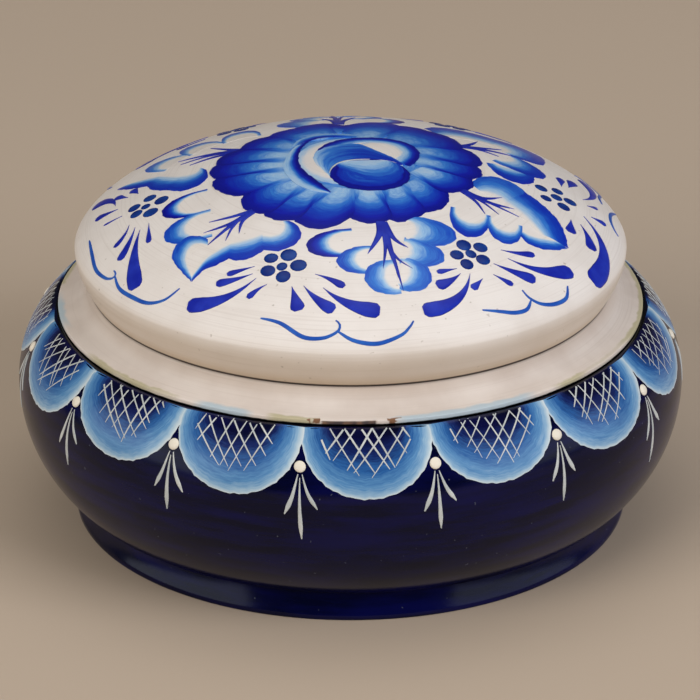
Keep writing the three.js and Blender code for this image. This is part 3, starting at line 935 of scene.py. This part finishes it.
# each leaf: lobes as tip, heart, half width, dark, fade depth; or outer and inner edges drawn out
leafStrokes = {
    "front": {
        "lobes": [
            ((-7.7, -30.2), (0.6, -29.2), 4.0, 0.02, 0.42),
            ((-2.4, -34.3), (4.0, -33.6), 3.7, 0.22, 0.5),
            ((18.6, -25.4), (9.6, -25.2), 4.4, 0.26, 0.85),
            ((16.5, -31.8), (9.0, -30.8), 3.7, 0.28, 0.85),
            ((14.2, -37.6), (8.4, -36.4), 4.2, 0.28, 0.7),
            ((2.5, -38.3), (8.4, -37.4), 4.3, 0.30, 0.62),
        ],
        "edges": [],
        "veins": [
            ([(5.2, -23.4), (5.0, -27.2), (3.0, -32.4)], 1.3),
            ([(5.6, -23.6), (6.1, -30.0), (5.7, -35.9)], 0.9),
            ([(5.7, -23.6), (7.0, -31.0), (9.3, -40.6)], 1.1),
            ([(5.7, -23.6), (7.6, -28.0), (10.1, -30.2)], 1.2),
            ([(6.9, -31.0), (8.6, -33.6), (10.9, -35.3)], 0.55),
        ],
    },
    "leftFront": {
        "lobes": [
            ((-33.9, -11.2), (-25.6, -11.4), 4.6, 0.02, 0.3),
            ((-33.4, -19.6), (-24.6, -19.2), 4.8, 0.24, 0.42),
        ],
        "edges": [
            ([(-25.2, -24.0), (-27.0, -22.2), (-29.4, -21.7), (-31.4, -24.0), (-31.8, -26.6),
              (-30.6, -29.8),
              (-28.4, -33.9)],
             [(-25.2, -26.4), (-26.4, -25.8), (-27.4, -25.8), (-28.0, -26.6), (-28.2, -28.0),
              (-28.3, -30.0),
              (-28.1, -32.8)], 0.26, 0.85),
            ([(-28.3, -34.0), (-26.0, -32.0), (-23.6, -31.5), (-21.2, -30.4)],
             [(-28.1, -32.4), (-25.4, -28.6), (-22.8, -26.8), (-20.0, -25.6)], 0.12, 0.95),
            ([(-21.6, -30.4), (-19.6, -31.6), (-17.0, -31.2), (-15.2, -29.9)],
             [(-21.0, -26.0), (-19.0, -25.6), (-17.0, -25.2), (-15.2, -24.6)], 0.12, 0.95),
            ([(-15.4, -29.8), (-12.4, -30.6), (-9.4, -29.0), (-8.6, -26.4), (-9.4, -24.0), (-10.6, -22.6)],
             [(-15.4, -25.0), (-14.2, -25.4), (-13.2, -25.2), (-12.6, -24.6), (-12.3, -23.6),
              (-12.2, -22.4)],
             0.14, 0.9),
        ],
        "veins": [
            ([(-17.2, -18.0), (-20.6, -18.8), (-25.0, -19.1)], 0.9),
            ([(-17.4, -18.2), (-21.0, -20.8), (-26.0, -22.0)], 1.0),
            ([(-17.4, -18.2), (-21.2, -21.6), (-25.2, -25.7)], 1.1),
            ([(-19.8, -20.4), (-21.0, -22.6), (-22.0, -25.6)], 0.6),
            ([(-17.0, -18.4), (-19.0, -20.8), (-19.6, -24.2)], 0.9),
        ],
    },
    "rightFront": {
        "lobes": [
            ((20.6, -24.9), (21.2, -16.8), 3.9, 0.08, 0.5),
            ((27.2, -24.4), (27.4, -17.6), 3.5, 0.18, 0.5),
        ],
        "edges": [
            ([(21.4, -7.0), (23.0, -3.6), (26.0, -1.8), (29.6, -2.8), (32.0, -5.8)],
             [(23.4, -9.6), (24.4, -10.0), (25.4, -10.6), (26.4, -11.4), (27.0, -12.4)], 0.3, 1.0),
            ([(31.4, -5.0), (34.4, -7.6), (37.4, -11.4), (38.8, -15.4), (39.4, -19.2)],
             [(26.6, -11.6), (28.2, -12.8), (30.0, -14.4), (31.8, -16.4), (33.8, -18.4)], 0.14, 1.0),
            ([(39.3, -19.4), (37.0, -21.4), (34.0, -22.7), (31.4, -22.3), (30.2, -20.8)],
             [(36.0, -18.4), (34.4, -18.4), (33.0, -18.6), (31.8, -18.8), (31.0, -18.8)], 0.2, 0.8),
        ],
        "veins": [
            ([(19.8, -10.2), (23.4, -11.6), (27.0, -9.8)], 1.2),
            ([(20.0, -10.2), (24.4, -12.6), (29.2, -12.8)], 1.2),
            ([(21.6, -11.4), (25.6, -13.2), (30.0, -15.0)], 0.7),
            ([(20.4, -10.8), (23.6, -13.2), (26.3, -16.0)], 0.7),
            ([(19.8, -10.6), (22.2, -13.4), (23.8, -16.9)], 0.8),
        ],
    },
    "rightBack": {
        "lobes": [
            ((30.6, -1.8), (28.6, 5.4), 4.6, 0.06, 0.9),
            ((35.4, 4.8), (27.8, 9.6), 4.4, 0.1, 0.86),
        ],
        "edges": [
            ([(13.6, 20.6), (15.6, 23.8), (19.6, 25.6), (24.0, 25.4), (28.6, 24.8)],
             [(17.2, 15.6), (19.4, 16.6), (21.8, 17.0), (24.2, 16.8), (26.4, 16.2)], 0.14, 1.0),
            ([(27.8, 25.0), (32.0, 25.4), (35.8, 22.6), (36.4, 17.6), (35.2, 13.0), (31.0, 12.2)],
             [(26.0, 16.8), (27.0, 16.4), (27.8, 15.8), (28.0, 15.2), (28.0, 14.6), (27.8, 14.0)], 0.12,
             1.0),
        ],
        "veins": [
            ([(19.4, 10.4), (21.6, 13.0), (23.3, 16.8)], 1.1),
            ([(19.4, 10.4), (24.0, 12.6), (27.8, 15.0)], 1.1),
            ([(19.6, 10.4), (25.0, 11.9), (30.4, 12.6)], 1.2),
            ([(19.6, 10.4), (23.4, 10.9), (27.0, 9.6)], 1.0),
        ],
    },
    "left": {
        "lobes": [
            ((-37.6, 15.8), (-31.6, 10.6), 4.2, 0.3, 0.5),
            ((-30.4, 21.4), (-26.4, 14.4), 4.0, 0.24, 0.45),
            ((-21.0, 23.8), (-19.8, 16.0), 3.9, 0.2, 0.4),
        ],
        "edges": [
            ([(-43.8, 9.4), (-41.0, 5.4), (-37.0, 2.4)], [(-41.4, 9.0), (-37.6, 7.6), (-34.2, 6.0)],
             0.12, 0.95),
            ([(-37.4, 3.2), (-36.0, -0.4), (-32.8, -3.2)], [(-34.6, 6.2), (-32.0, 3.8), (-29.6, 2.0)],
             0.12, 0.95),
            ([(-33.2, -2.6), (-30.6, -5.1), (-27.4, -4.9), (-25.6, -2.2), (-26.0, 1.6)],
             [(-30.2, 2.6), (-29.2, 2.4), (-28.2, 2.6), (-27.6, 3.2), (-27.4, 3.8)], 0.1, 0.95),
        ],
        "veins": [
            ([(-19.4, 8.2), (-22.4, 10.4), (-25.6, 13.8)], 1.0),
            ([(-19.2, 8.0), (-25.4, 9.6), (-31.6, 10.6)], 1.3),
            ([(-22.0, 8.6), (-26.6, 8.8), (-31.0, 8.2)], 0.9),
            ([(-19.6, 7.4), (-24.6, 7.4), (-29.2, 6.2)], 1.2),
        ],
    },
}


def paintLeaves():
    sheet, veins = Sheet(), []
    seed = 60
    placed = [(leafStrokes[name], 0, 0) for name in ("front", "leftFront", "rightFront", "rightBack",
                                                     "left")]
    placed.append((leafStrokes["front"], 173, -3.6))  # the leaf at the back repeats the front one
    for leaf, turn, shift in placed:
        low = 0.035
        for tip, heart, halfWidth, dark, fade in leaf["lobes"]:
            tip, heart = moved([tip, heart], turn, shift)
            outline = halfOval(tip, heart, halfWidth, 0.08, 0.8, 24)
            core = halfOval(mixPoint(heart, tip, 0.05), heart, halfWidth * 0.5, 0.0, 0.9, 24)
            dark += 0.12 * (dark > 0.05)
            sheet.film(outline, core, 14, low, petalTone(dark, 1.0, fade + 0.14, 0.6), seed)
            seed += 1
            low += 0.006
        for outer, inner, dark, fade in leaf["edges"]:
            steps = max(12, int(lengthOf(outer) / 0.7))
            sheet.film(*[smoothPath(moved(side, turn, shift), steps) for side in (outer, inner)],
                       10, low, edgeTone(dark + 0.08, fade), seed)
            seed += 1
            low += 0.006
        for points, width in leaf["veins"]:
            veins.append((moved(points, turn, shift), width))
    return sheet.asObject("leaves"), veins


rose, roseTop = paintRose()
leaves, veins = paintLeaves()


def lineObject(name, strokes):
    # strokes are path points and half widths along the path, in millimetres
    curve = bpy.data.curves.new(name, "CURVE")
    curve.dimensions = "2D"
    for points, widths in strokes:
        steps = max(6, int(lengthOf(points) / 0.55))
        path = smoothPath(points, steps)
        spline = curve.splines.new("POLY")
        spline.points.add(steps)
        for k, (x, y) in enumerate(path):
            spline.points[k].co = (x * mm, y * mm, 0, 1)
            spline.points[k].radius = max(0.03, widths(k / steps)) * mm
    return addObject(name, curve)


def sectionObject(name, thickness):
    # cross section of a stroke one unit wide: a flat crown with thin edges
    half = [(-1.0, 0.0), (-0.86, 0.72), (-0.45, 1.0), (0.45, 1.0), (0.86, 0.72), (1.0, 0.0),
            (0.8, -0.5), (-0.8, -0.5)]
    mesh = bpy.data.meshes.new(name)
    mesh.from_pydata([(x, 0, 0) for x, h in half], [(k, (k + 1) % len(half)) for k in range(len(half))],
                     [])
    mesh.attributes.new("crown", "FLOAT", "POINT").data.foreach_set(
        "value", [(h * thickness if h >= 0 else -0.03) * mm for x, h in half])
    return addObject(name, mesh)


def tapered(width):
    # thick where it leaves the flower, running out to a point
    return lambda t: width * 0.64 * (1 - t) ** 0.66


def dropped(width):
    # touches down as a point, and is pressed wide before it lifts
    def half(t):
        lift = 1 if t < 0.92 else math.sqrt(0.3 + 0.7 * max(0.0, 1 - ((t - 0.92) / 0.08) ** 2))
        return width * 0.56 * min(t ** 1.15 * 1.3, 1.0) * lift
    return half


def curled(t):
    # the liner lands lightly, swells and lifts off
    return 0.14 + 0.26 * math.sin(math.pi * t ** 0.8) ** 0.8


def pointed(width):
    # fine at both ends
    return lambda t: width / 2 * min(1.0, 0.2 + 1.1 * t) * min(1.0, 1 - 0.75 * (t - 0.8) / 0.2)


def bentPath(start, end, bend):
    dx, dy = end[0] - start[0], end[1] - start[1]
    path = []
    for k in range(7):
        t = k / 6
        sag = bend * 4 * t * (1 - t)
        path.append((start[0] + dx * t - dy * sag, start[1] + dy * t + dx * sag))
    return path


# start, end, width, bend
dropStrokes = {
    "frontLeft": [
        ((-16.8, -33.7), (-21.8, -34.4), 1.2, 0.0), ((-17.2, -35.4), (-23.8, -36.0), 1.6, 0.04),
        ((-16.6, -36.6), (-29.3, -38.9), 2.7, 0.15), ((-14.7, -38.4), (-18.2, -40.7), 1.2, -0.06),
        ((-6.2, -37.1), (-1.1, -40.2), 1.4, 0.04), ((-10.3, -39.5), (-9.2, -44.8), 2.3, 0.0),
        ((-8.2, -39.6), (-2.9, -45.2), 2.1, -0.06), ((-4.8, -40.3), (5.2, -45.2), 2.8, -0.11),
    ],
    "left": [
        ((-40.2, -11.1), (-43.2, -16.2), 1.1, 0.1), ((-39.0, -12.9), (-42.2, -20.9), 1.6, 0.05),
        ((-38.0, -14.4), (-39.2, -30.2), 2.8, -0.04), ((-36.3, -13.4), (-36.3, -19.6), 1.0, 0.0),
        ((-40.9, 1.0), (-43.6, 4.2), 1.7, 0.0), ((-38.8, 0.6), (-40.2, 3.9), 1.7, 0.0),
        ((-43.4, -0.2), (-48.8, 7.6), 2.6, -0.14), ((-42.8, -2.4), (-47.6, -1.0), 1.9, 0.0),
        ((-41.8, -6.3), (-45.6, -6.1), 0.6, 0.0),
    ],
    "frontRight": [
        ((26.6, -26.5), (32.8, -25.0), 1.4, -0.05), ((27.9, -28.3), (40.2, -25.2), 2.7, -0.14),
        ((25.3, -30.6), (33.2, -31.4), 2.1, -0.03), ((25.3, -33.3), (29.0, -34.4), 1.2, 0.0),
        ((18.7, -33.8), (15.2, -35.4), 1.1, 0.0), ((19.4, -34.8), (15.2, -38.6), 2.0, 0.06),
        ((21.1, -34.4), (12.9, -44.3), 2.7, 0.18), ((23.4, -34.9), (21.6, -37.8), 1.4, 0.0),
    ],
    "right": [
        ((40.1, -9.2), (40.0, -13.9), 2.0, 0.0), ((42.0, -9.3), (44.3, -16.0), 2.1, 0.06),
        ((42.8, -5.4), (44.8, -24.6), 3.5, 0.17), ((44.4, -3.9), (47.6, -3.3), 1.7, 0.0),
        ((38.8, 4.2), (38.8, 8.9), 1.7, 0.0), ((40.3, 5.4), (41.5, 10.5), 2.1, 0.0),
        ((43.0, 2.4), (43.8, 16.8), 2.5, -0.16), ((43.8, 0.4), (46.0, 1.9), 1.0, 0.0),
    ],
}
berryDots = {
    "frontLeft": [(-13.9, -32.2, 1.2), (-10.8, -31.9, 1.45), (-14.5, -35.2, 1.3), (-9.1, -34.7, 1.4),
                  (-11.8, -37.0, 1.3), (-12.0, -34.6, 0.95)],
    "left": [(-36.4, -3.7, 1.2), (-39.4, -5.2, 1.2), (-34.1, -6.3, 1.35), (-38.9, -8.0, 1.2),
             (-36.1, -9.6, 1.4), (-37.1, -6.6, 0.9)],
    "frontRight": [(19.9, -27.4, 1.35), (22.9, -27.1, 1.25), (18.7, -30.3, 1.2), (23.4, -30.2, 1.25),
                   (20.5, -32.2, 1.2), (21.2, -29.4, 1.0)],
    "right": [(34.6, -0.7, 1.2), (37.5, -2.4, 1.15), (40.2, -1.8, 1.25), (35.4, -4.5, 1.05),
              (38.8, -5.2, 1.25), (37.8, 0.7, 1.15)],
}
hiddenTurns = (168, 236)  # the clusters at the back repeat the one at the front left
hiddenCurls = (118, 178, 238)
curlStrokes = [
    [(-16.0, -45.3), (-12.6, -46.8), (-8.6, -49.9), (-4.9, -50.4), (-2.3, -49.3), (-1.9, -48.0),
     (-2.6, -47.2)],
    [(-2.4, -49.2), (0.6, -51.0), (4.9, -51.4), (9.0, -49.6), (10.6, -47.8), (11.2, -46.6)],
    [(-48.8, -8.2), (-48.2, -13.6), (-47.4, -19.2), (-45.4, -23.2), (-43.7, -24.5), (-43.1, -23.9),
     (-43.4, -22.8)],
    [(-43.3, -24.3), (-42.6, -28.0), (-40.0, -31.8), (-37.0, -34.8), (-33.6, -35.8), (-30.6, -34.6)],
    [(39.6, -29.4), (39.6, -32.2), (37.4, -34.8), (34.6, -36.2), (32.2, -36.0), (30.8, -34.9)],
    [(32.6, -36.4), (32.0, -38.6), (29.8, -40.2), (27.0, -41.0), (23.6, -41.8)],
    [(51.2, 9.0), (49.4, 4.6), (49.0, 0.6), (49.6, -2.4), (50.6, -4.0)],
]


def paintLines():
    drops, curls = [], []
    for group, turn in [(name, 0) for name in dropStrokes] + [("frontLeft", turn) for turn in hiddenTurns]:
        for start, end, width, bend in dropStrokes[group]:
            drops.append((moved(bentPath(start, end, bend), turn), dropped(width)))
    drops += [(points, tapered(width)) for points, width in veins]
    curls += [(points, curled) for points in curlStrokes]
    curls += [(moved(points, turn), curled) for turn in hiddenCurls for points in curlStrokes[:2]]
    return lineObject("drops", drops), lineObject("curls", curls)


def dabObject(name, height):
    # a round dab of paint, one unit in radius, thin at its edge
    rings = [(0.0, 1.0), (0.5, 0.94), (0.8, 0.7), (0.94, 0.4), (1.0, 0.0), (0.9, -1.0)]
    around = 14
    points, rises, faces = [(0, 0, 0)], [height * mm], []
    for reach, share in rings[1:]:
        for k in range(around):
            a = 2 * math.pi * k / around
            points.append((reach * math.cos(a), reach * math.sin(a), 0))
            rises.append((height * share if share >= 0 else -0.03) * mm)
    for k in range(around):
        faces.append((0, 1 + k, 1 + (k + 1) % around))
        for ring in range(len(rings) - 2):
            a, b = 1 + ring * around, 1 + (ring + 1) * around
            faces.append((a + k, b + k, b + (k + 1) % around, a + (k + 1) % around))
    last = 1 + (len(rings) - 2) * around
    faces.append(tuple(last + k for k in reversed(range(around))))
    mesh = bpy.data.meshes.new(name)
    mesh.from_pydata(points, [], faces)
    mesh.attributes.new("rise", "FLOAT", "POINT").data.foreach_set("value", rises)
    return addObject(name, mesh)


def pointObject(name, places):
    # places are x, y, turn, and the size across and along
    mesh = bpy.data.meshes.new(name)
    mesh.from_pydata([(x * mm, y * mm, 0) for x, y, turn, wide, tall in places], [], [])
    mesh.attributes.new("turn", "FLOAT", "POINT").data.foreach_set("value", [p[2] for p in places])
    mesh.attributes.new("size", "FLOAT_VECTOR", "POINT").data.foreach_set(
        "vector", [v for p in places for v in (p[3], p[4], 1.0)])
    return addObject(name, mesh)


dropCurves, curlCurves = paintLines()
dots = [dot for group in berryDots.values() for dot in group]
for turn in hiddenTurns:
    dots += moved(berryDots["frontLeft"], turn)
berryPoints = pointObject("berryPoints", [(x, y, 0.7 * x, r * 1.08 * mm, r * 1.02 * mm)
                                          for x, y, r in dots])

onLid = {"Outline": lidLine, "Start": 0.0, "Belt": False, "Belt radius": 1.0}
thinSection, thickSection = sectionObject("thinSection", 0.1), sectionObject("thickSection", 0.1)
berryDab = dabObject("berryDab", 0.16)
scratch += [thinSection, thickSection, berryDab]
rosePiece = bake("rosePainting", rose, wrap, {**onLid, "Paint": petalPaint})
leafPiece = bake("leafPainting", leaves, wrap, {**onLid, "Paint": petalPaint})
dropPiece = bake("dropsAndVeins", dropCurves, lines,
                 {**onLid, "Paint": cobaltLine, "Section": thinSection})
curlPiece = bake("rimCurls", curlCurves, lines, {**onLid, "Paint": curlPaint, "Section": thinSection})
berryPiece = bake("berries", berryPoints, stamps, {**onLid, "Paint": berryPaint, "Stamp": berryDab})
budEdge = [(-3.7, -7.4), (-3.3, -5.4), (-2.2, -3.5), (-0.6, -2.4), (1.2, -1.9), (3.4, -1.7)]
rimLight = lineObject("rimLight", [(budEdge, lambda t: 0.08 + 0.16 * math.sin(t * 3.1))])
rimSection = sectionObject("rimSection", roseTop + 0.12)
scratch += [rimSection]
rimPiece = bake("budHighlight", rimLight, lines, {**onLid, "Paint": whiteLine, "Section": rimSection})
print("lid painting ready")


garland = {
    "beltRadius": 57.5,  # radius at which paint is measured round the belly
    "cusps": [-55.8, -31.5, -8.5, 14.4, 37.8, 62.4, 86.9, 110.6, 134.4, 158.2, 182.6, 206.4, 230.9,
              255.0, 279.6],  # azimuths, from the front
    "scallopDepth": 12.2,
    "dotDepth": 6.6, "dotRadius": 1.0, "tasselLength": 12.0,
    "hatchGap": 2.5, "hatchLean": 58, "hatchSwing": 17, "hatchHalf": 8.3, "hatchDepth": 8.6,
    "seed": 11,
}


spans = list(zip(garland["cusps"], garland["cusps"][1:] + [garland["cusps"][0] + 360]))


def beltX(degrees):
    return math.radians(degrees) * garland["beltRadius"]


def scallopTone(across, along):
    # palest along the rim, widest near the right-hand cusp where the brush lifts
    lifting = ease((along - 0.62) / 0.3)
    body = 0.86 * min(1.0, across / 0.86) ** (0.9 + 0.5 * lifting)
    return mix(0.0, 0.14, ease(across * (12 - 8.5 * lifting))) + body


def paintScallops():
    # hand-drawn scallops, each with its own depth and lean
    drawn = random.Random(garland["seed"])
    sheet = Sheet()
    for n, (a, b) in enumerate(spans):
        left, right = beltX(a), beltX(b)
        middle, half = (left + right) / 2, (right - left) / 2 + 0.25
        depth = garland["scallopDepth"] + drawn.uniform(-0.5, 0.6)
        lean = drawn.uniform(-0.7, 0.7)
        outer, inner = [], []
        for k in range(49):
            turn = mix(-math.pi / 2, math.pi / 2, k / 48)
            out = max(math.cos(turn), 0.0) ** 0.92
            x = middle + math.sin(turn) * half + lean * out
            top = -0.5 + 0.14 * max(0.0, math.sin(k * 0.42 + n * 1.7)) + 0.05 * math.sin(k * 1.9 + n)
            outer.append((x, -max(out * depth, top)))
            inner.append((middle + math.sin(turn) * half * 0.4, -top - 0.1 * out))
        sheet.film(outer, inner, 32, 0.06 + 0.02 * (n % 2), scallopTone, n + 1)
    return sheet.asObject("scallops")


def paintHatching():
    # crossed liner strokes; the net leans with the painter's hand from one side to the other
    drawn = random.Random(garland["seed"] + 1)
    g, strokes = garland, []
    for a, b in spans:
        middle = beltX((a + b) / 2) + drawn.uniform(-0.8, 0.8)
        slant = g["hatchSwing"] * math.sin(math.radians((a + b) / 2) * 1.4)
        for way in (-1, 1):
            for k in range(-5, 6):
                lean = math.radians(g["hatchLean"] + way * slant + drawn.uniform(-5, 5))
                dx, dy = way * math.cos(lean), -math.sin(lean)
                gap = g["hatchGap"] * (0.9 + 0.3 * abs(math.cos(lean)))
                x0 = k * gap + drawn.uniform(-0.45, 0.45) - way * 1.3
                inPatch = [t * 0.3 for t in range(45) if ((x0 + dx * t * 0.3) / g["hatchHalf"]) ** 2
                           + ((0.1 + dy * t * 0.3) / g["hatchDepth"]) ** 2 < 1]
                if len(inPatch) < 8:
                    continue
                start, end = inPatch[0] + drawn.uniform(0, 0.5), inPatch[-1] + drawn.uniform(-0.9, 0.7)
                points = [(middle + x0 + dx * s, 0.1 + dy * s) for s in (start, (start + end) / 2, end)]
                width = drawn.uniform(0.26, 0.42)
                strokes.append((points, lambda t, w=width: w / 2 * (1 - 0.6 * t ** 3)))
    return lineObject("hatching", strokes)


def paintTassels():
    drawn = random.Random(garland["seed"] + 2)
    strokes, dots = [], []
    for degrees in garland["cusps"]:
        x, top = beltX(degrees), -garland["dotDepth"] - drawn.uniform(-0.3, 0.3)
        lean = drawn.uniform(-0.9, 0.9)
        size = garland["dotRadius"] * mm
        dots.append((x, top, drawn.uniform(0, 3), size, size * 1.05))
        for side, reach in ((-1, 0.56), (0, 1.0), (1, 0.52)):
            length = garland["tasselLength"] * reach * drawn.uniform(0.84, 1.1)
            start = (x + side * 0.35 + lean * 0.2, top - 1.3 - (0.6 if side == 0 else 0))
            end = (x + side * drawn.uniform(2.3, 3.3) + lean, top - 1.3 - length)
            bow = (start[0] + (end[0] - start[0]) * 0.4, mix(start[1], end[1], 0.55))
            strokes.append(([start, bow, end], pointed(drawn.uniform(0.66, 0.84))))
    return lineObject("tassels", strokes), pointObject("tasselDots", dots)


onBelly = {"Outline": bowlLine, "Start": bellyStart * mm, "Belt": True,
           "Belt radius": garland["beltRadius"] * mm}
pearlDab = dabObject("pearlDab", 0.35)
scratch += [pearlDab]
tasselCurves, dotPoints = paintTassels()
scallopPiece = bake("scallopPainting", paintScallops(), wrap, {**onBelly, "Paint": scallopPaint})
hatchPiece = bake("hatchedNets", paintHatching(), lines,
                  {**onBelly, "Paint": whiteLine, "Section": thickSection})
tasselPiece = bake("tasselStrokes", tasselCurves, lines,
                   {**onBelly, "Paint": whiteLine, "Section": thickSection})
dotPiece = bake("raisedDots", dotPoints, stamps, {**onBelly, "Paint": pearlPaint, "Stamp": pearlDab})
print("belly painting ready")

for helper in scratch:
    data = helper.data
    bpy.data.objects.remove(helper)
    if data and data.users == 0:
        (bpy.data.curves if isinstance(data, bpy.types.Curve) else bpy.data.meshes).remove(data)

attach(bowl, "base")
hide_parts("bowl")
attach(collar, "base")
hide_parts("collar_ring")
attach(lid, "lid")
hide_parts("lid")
for piece in (rosePiece, leafPiece, dropPiece, curlPiece, berryPiece, rimPiece):
    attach(piece, "lid")
for piece in (scallopPiece, hatchPiece, tasselPiece, dotPiece):
    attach(piece, "base")


stageLook = {"floor": "#bba995", "floorHalf": 6, "world": 0.05}


def makeFloor():
    # plain matte board
    mesh = bpy.data.meshes.new("floor")
    half = stageLook["floorHalf"]
    mesh.from_pydata([(-half, -half, 0), (half, -half, 0), (half, half, 0), (-half, half, 0)],
                     [], [(0, 1, 2, 3)])
    material, tree, add = newMaterial("matte card")
    shader = tree.nodes["Principled BSDF"]
    shader.inputs["Base Color"].default_value = colour(stageLook["floor"])
    shader.inputs["Roughness"].default_value = 0.9
    mesh.materials.append(material)
    made = addObject("floor", mesh)


def addLight(name, place, target, size, power, tint="#ffffff"):
    data = bpy.data.lights.new(name, "AREA")
    data.shape = "RECTANGLE"
    data.size, data.size_y = size
    data.energy = power
    data.color = colour(tint)[:3]
    made = addObject(name, data)
    made.location = place
    made.rotation_euler = (Vector(target) - Vector(place)).to_track_quat("-Z", "Y").to_euler()
    return made


makeFloor()
softLights = [
    # name, place, size, power, tint, seen in the lacquer
    ("softboxTop", (-0.1, 0.1, 1.5), (2.0, 1.6), 8.0, "#fffbf6", False),
    ("fillRight", (1.05, -0.75, 0.75), (0.9, 0.8), 14.2, "#f6f8ff", False),
    ("fillLeft", (-0.85, -0.95, 0.75), (0.9, 0.8), 10.8, "#fffaf4", False),
    ("highlight", (0.1, 0.5, 1.5), (1.2, 0.8), 1.6, "#f4f7ff", True),
    ("panelLeft", (-1.25, -0.45, 0.34), (1.5, 0.5), 3.4, "#eef4ff", True),
    ("panelRight", (1.25, -0.45, 0.34), (1.5, 0.5), 2.8, "#e8f0ff", True),
]
for name, place, size, power, tint, seen in softLights:
    addLight(name, place, (0, 0, 0.03), size, power, tint).visible_glossy = seen

world = bpy.data.worlds.new("studio")
bpy.context.scene.world = world
world.use_nodes = True
sky = world.node_tree.nodes["Background"]
sky.inputs["Color"].default_value = colour("#f4f1ec")
sky.inputs["Strength"].default_value = stageLook["world"]

camera = addObject("camera", bpy.data.cameras.new("camera"))
camera.location = (0, -0.7239, 0.3613)
camera.rotation_euler = (math.radians(65.32), 0, 0)
camera.data.lens = 226.2
camera.data.shift_x = -0.0007
camera.data.clip_start, camera.data.clip_end = 0.05, 50
bpy.context.scene.camera = camera
bpy.context.scene.view_settings.view_transform = "Standard"
